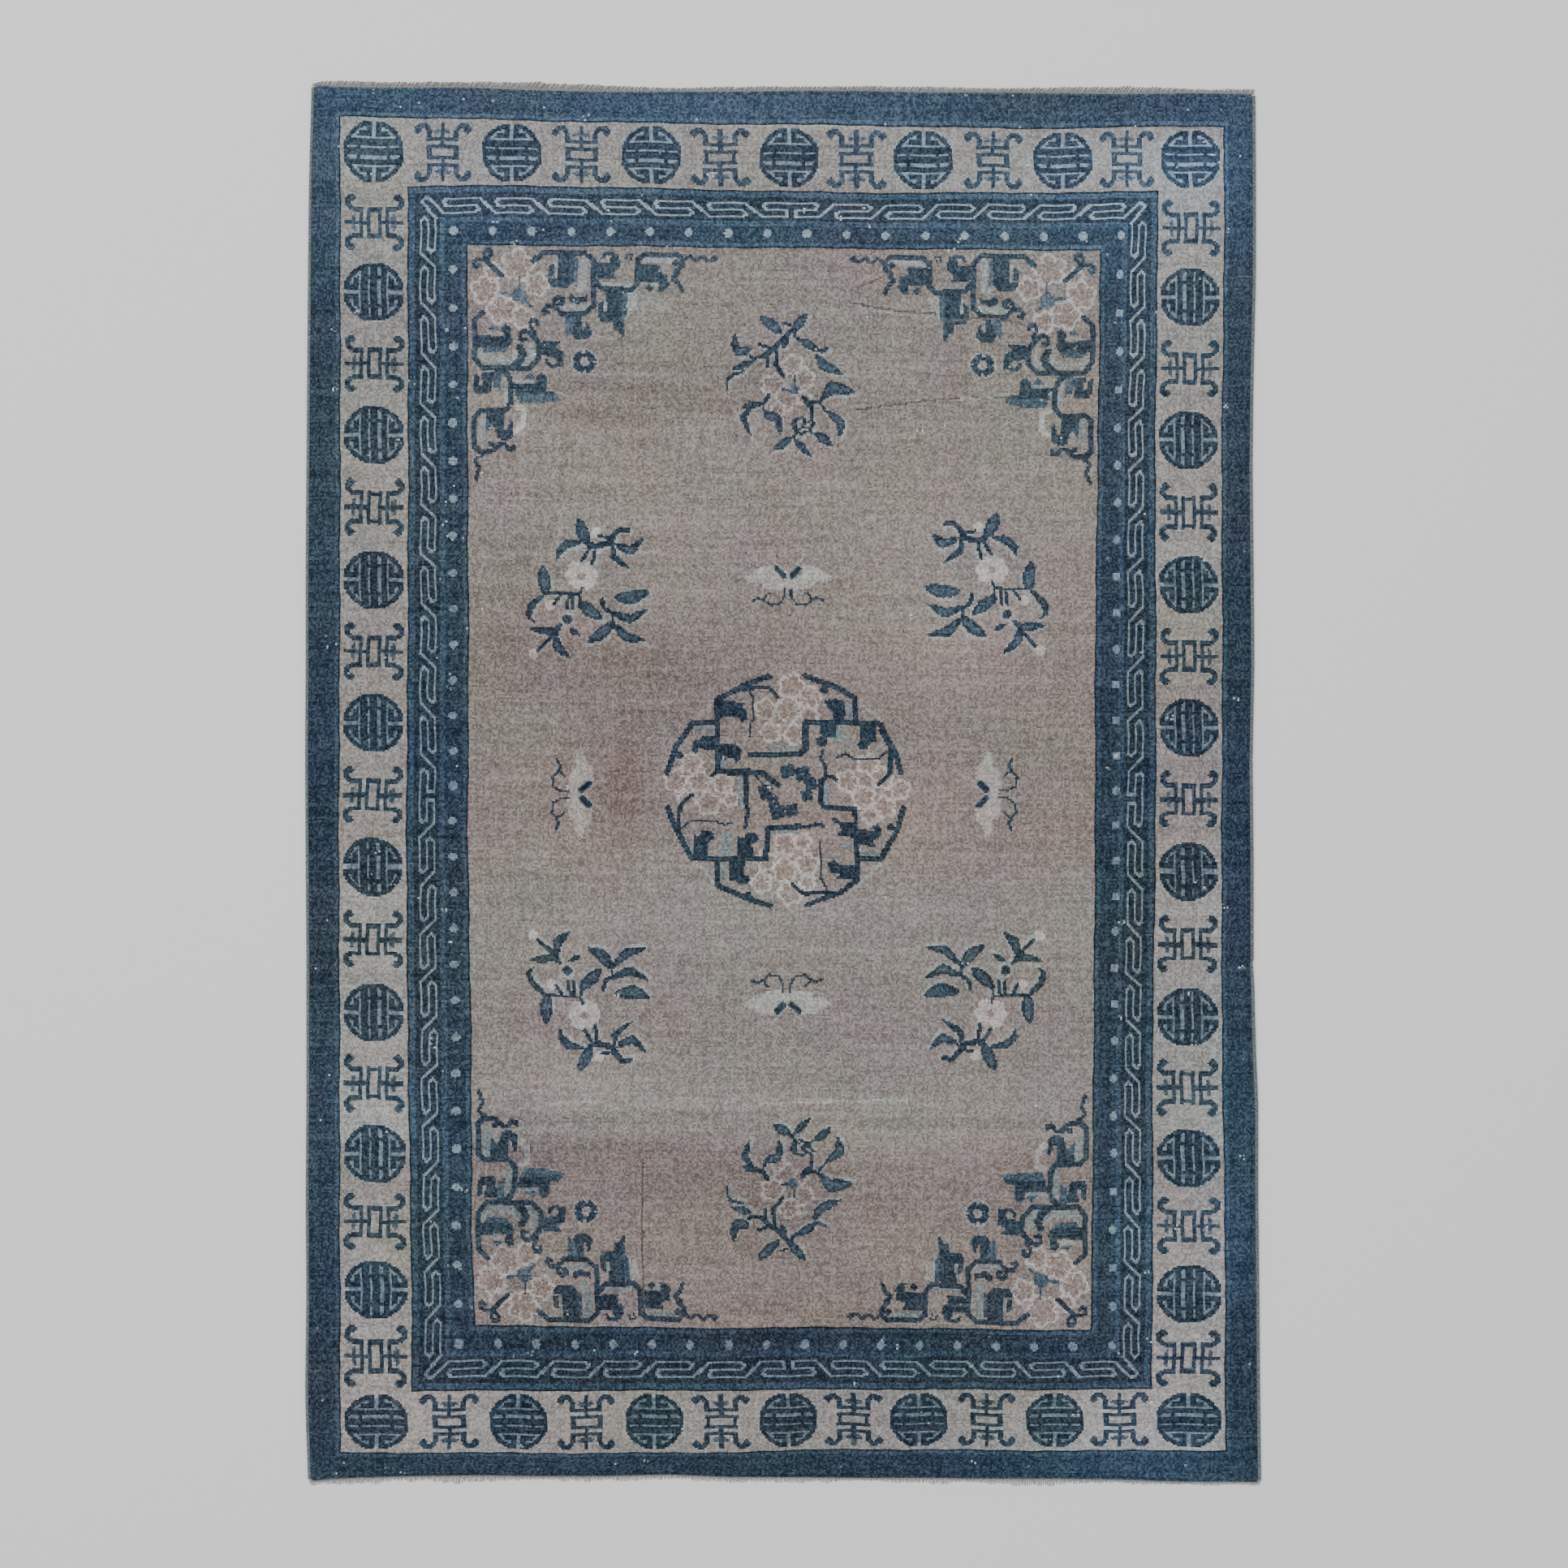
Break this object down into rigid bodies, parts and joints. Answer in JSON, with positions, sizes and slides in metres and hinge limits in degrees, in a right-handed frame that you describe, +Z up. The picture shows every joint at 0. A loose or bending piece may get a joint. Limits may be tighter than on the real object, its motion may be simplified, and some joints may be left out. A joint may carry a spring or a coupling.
{
  "type": "knotted pile rug",
  "caption": "Flat rectangular wool pile rug with overcast side edges and short cut fringe at both ends, for laying on a floor.",
  "frame": {"origin": "centre of the rug's outline, on the floor under it", "axes": "+X across the rug's width, +Y along its length to the far fringe, +Z up out of the pile"},
  "size_m": [1.8474, 2.7192, 0.009],
  "materials": {
    "pile": "matt wool pile, dark blue borders and a dusty rose-beige field",
    "selvage": "matt overcast wool yarn",
    "fringe": "matt undyed cotton"
  },
  "bodies": {
    "root": {"pile_carpet": "pile", "selvage_left": "selvage", "selvage_right": "selvage", "fringe_far": "fringe", "fringe_near": "fringe"}
  },
  "joints": []
}
